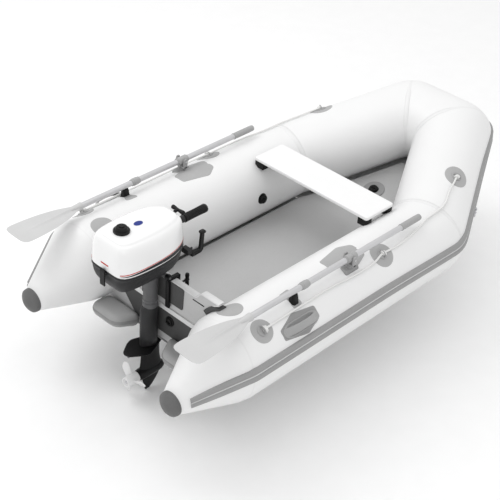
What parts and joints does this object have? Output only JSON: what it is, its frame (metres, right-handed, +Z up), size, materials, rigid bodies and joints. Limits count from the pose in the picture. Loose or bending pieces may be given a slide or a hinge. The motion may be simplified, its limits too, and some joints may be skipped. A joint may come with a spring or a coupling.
{
  "type": "inflatable dinghy",
  "caption": "Small open inflatable boat with round side tubes, a raised bow, an air floor, a seat board, stowed oars and a tilting tiller outboard.",
  "frame": {"origin": "on the centre line, on the flat underside of the hull, in the plane of the transom's aft face", "axes": "+X towards the bow, +Y to port, +Z up"},
  "size_m": [2.7596, 1.456, 1.0553],
  "materials": {
    "hull_pvc": "satin coated fabric",
    "patch_pvc": "satin coated fabric",
    "strake_rubber": "matte moulded rubber",
    "floor_pvc": "fine non-slip coated fabric",
    "painted_ply": "painted",
    "dark_trim": "fine grain",
    "seat_board": "painted",
    "black_fitting": "moulded",
    "grey_fitting": "moulded",
    "stainless": "polished",
    "rope_white": "braided",
    "oar_plastic": "moulded",
    "oar_alloy": "anodised",
    "motor_black": "satin",
    "motor_grey": "satin",
    "cowl_white": "gloss",
    "prop_paint": "satin",
    "cast_alloy": "as cast",
    "tank_plastic": "translucent moulded"
  },
  "bodies": {
    "hull": {"side_tube_port": "hull_pvc", "side_tube_starboard": "hull_pvc", "bow_tube_port": "hull_pvc", "bow_tube_starboard": "hull_pvc", "bow_tube_front": "hull_pvc", "stern_cone_port": "hull_pvc", "stern_cone_starboard": "hull_pvc", "end_caps": "strake_rubber", "rubbing_strake": "strake_rubber", "chamber_baffles": "hull_pvc", "air_floor": "floor_pvc", "stern_pods": "floor_pvc", "bottom_fabric": "floor_pvc", "transom_board": "painted_ply", "transom_corners": "dark_trim", "motor_pads": "dark_trim", "transom_skirt": "dark_trim", "tube_patches": "patch_pvc", "carry_handles": "grey_fitting", "seat_plank": "seat_board", "seat_holders": "black_fitting", "valve_bodies": "black_fitting", "line_fittings": "grey_fitting", "lifeline_port": "rope_white", "lifeline_starboard": "rope_white", "rowlock_bases": "grey_fitting", "oar_keepers": "black_fitting", "clamp_bracket": "motor_black"},
    "valve_cap_port": {"valve_cap_port": "black_fitting"},
    "valve_cap_starboard": {"valve_cap_starboard": "black_fitting"},
    "valve_cap_floor": {"valve_cap_floor": "black_fitting"},
    "drain_plug": {"drain_plug": "black_fitting"},
    "tow_ring_port": {"tow_ring_port": "stainless"},
    "tow_ring_starboard": {"tow_ring_starboard": "stainless"},
    "rowlock_port": {"rowlock_port": "grey_fitting"},
    "rowlock_starboard": {"rowlock_starboard": "grey_fitting"},
    "oar_port": {"oar_blade_port": "oar_plastic", "oar_shaft_port": "oar_alloy", "oar_grip_port": "oar_plastic"},
    "oar_starboard": {"oar_blade_starboard": "oar_plastic", "oar_shaft_starboard": "oar_alloy", "oar_grip_starboard": "oar_plastic"},
    "clamp_screw_port": {"clamp_screw_port": "motor_black"},
    "clamp_screw_starboard": {"clamp_screw_starboard": "motor_black"},
    "swivel": {"swivel_bracket": "motor_black"},
    "motor": {"leg_housing": "motor_grey", "gearcase": "motor_black", "engine_pan": "motor_grey", "cowl": "cowl_white", "fuel_tank": "tank_plastic", "powerhead": "cast_alloy"},
    "fuel_cap": {"fuel_cap": "black_fitting"},
    "starter_handle": {"starter_handle": "black_fitting"},
    "tiller": {"tiller_arm": "motor_grey"},
    "throttle": {"throttle_grip": "black_fitting"},
    "shift_lever": {"shift_lever": "black_fitting"},
    "cowl_latch": {"cowl_latch": "black_fitting"},
    "propeller": {"propeller": "prop_paint", "prop_shaft": "stainless"},
    "drive_shaft": {"drive_shaft": "stainless"}
  },
  "joints": [
    {"name": "valve_turn_port", "type": "hinge", "parent": "hull", "child": "valve_cap_port", "pos_m": [1.03, 0.29551, 0.22465], "axis": [0, -0.9976, 0.0698], "range_deg": [0, 90]},
    {"name": "valve_turn_starboard", "type": "hinge", "parent": "hull", "child": "valve_cap_starboard", "pos_m": [1.03, -0.29551, 0.22465], "axis": [0, 0.9976, 0.0698], "range_deg": [-90, 0]},
    {"name": "valve_turn_floor", "type": "hinge", "parent": "hull", "child": "valve_cap_floor", "pos_m": [1.68, 0.03, 0.14296], "axis": [-0.2856, 0, 0.9583], "range_deg": [0, 90]},
    {"name": "drain_pull", "type": "slide", "parent": "hull", "child": "drain_plug", "axis": [-1, 0, 0], "range_m": [0, 0.03]},
    {"name": "tow_ring_swing_port", "type": "hinge", "parent": "hull", "child": "tow_ring_port", "pos_m": [1.80554, 0.56938, 0.24422], "axis": [0.8557, -0.4502, 0.2551], "range_deg": [0, 120]},
    {"name": "tow_ring_swing_starboard", "type": "hinge", "parent": "hull", "child": "tow_ring_starboard", "pos_m": [1.80554, -0.56938, 0.24422], "axis": [0.8557, 0.4502, 0.2551], "range_deg": [-120, 0]},
    {"name": "rowlock_swing_port", "type": "hinge", "parent": "hull", "child": "rowlock_port", "pos_m": [0.694, 0.585, 0.42], "axis": [0, 0, 1], "range_deg": [-100, 5]},
    {"name": "rowlock_swing_starboard", "type": "hinge", "parent": "hull", "child": "rowlock_starboard", "pos_m": [0.694, -0.585, 0.42], "axis": [0, 0, 1], "range_deg": [-5, 100]},
    {"name": "oar_lift_port", "type": "hinge", "parent": "rowlock_port", "child": "oar_port", "pos_m": [0.694, 0.585, 0.465], "axis": [0, 1, 0], "range_deg": [0, 3]},
    {"name": "oar_lift_starboard", "type": "hinge", "parent": "rowlock_starboard", "child": "oar_starboard", "pos_m": [0.694, -0.585, 0.465], "axis": [0, 1, 0], "range_deg": [0, 3]},
    {"name": "clamp_turn_port", "type": "hinge", "parent": "hull", "child": "clamp_screw_port", "pos_m": [0.06, 0.081, 0.34], "axis": [1, 0, 0], "range_deg": [0, 720]},
    {"name": "clamp_turn_starboard", "type": "hinge", "parent": "hull", "child": "clamp_screw_starboard", "pos_m": [0.06, -0.081, 0.34], "axis": [1, 0, 0], "range_deg": [0, 720]},
    {"name": "motor_tilt", "type": "hinge", "parent": "hull", "child": "swivel", "pos_m": [-0.014, 0, 0.412], "axis": [0, 1, 0], "range_deg": [0, 50]},
    {"name": "motor_steer", "type": "hinge", "parent": "swivel", "child": "motor", "pos_m": [-0.05, 0, 0.35], "axis": [0, 0, 1], "range_deg": [-40, 40]},
    {"name": "fuel_cap_turn", "type": "hinge", "parent": "motor", "child": "fuel_cap", "pos_m": [-0.228, 0, 0.734], "axis": [0, 0, 1], "range_deg": [0, 270]},
    {"name": "starter_pull", "type": "slide", "parent": "motor", "child": "starter_handle", "axis": [1, 0, 0], "range_m": [0, 0.1], "stiffness_N_per_m": 30, "springref_m": -0.05},
    {"name": "tiller_lift", "type": "hinge", "parent": "motor", "child": "tiller", "pos_m": [0.119, 0.06, 0.538], "axis": [0, 1, 0], "range_deg": [-50, 0]},
    {"name": "throttle_twist", "type": "hinge", "parent": "tiller", "child": "throttle", "pos_m": [0.28, 0.06, 0.572], "axis": [1, 0, 0], "range_deg": [0, 110]},
    {"name": "gear_shift", "type": "hinge", "parent": "motor", "child": "shift_lever", "pos_m": [0.119, -0.1, 0.492], "axis": [0, 1, 0], "range_deg": [-15, 15]},
    {"name": "latch_open", "type": "hinge", "parent": "motor", "child": "cowl_latch", "pos_m": [-0.34, 0, 0.552], "axis": [0, 1, 0], "range_deg": [0, 15]},
    {"name": "drive_spin", "type": "hinge", "parent": "motor", "child": "drive_shaft", "pos_m": [-0.05, 0, 0.3], "axis": [0, 0, 1], "continuous": true},
    {"name": "prop_spin", "type": "hinge", "parent": "motor", "child": "propeller", "pos_m": [-0.17, 0, -0.18], "axis": [1, 0, 0], "continuous": true}
  ],
  "couplings": [
    {"joint": "prop_spin", "follows": "drive_spin", "ratio": -0.48148}
  ]
}
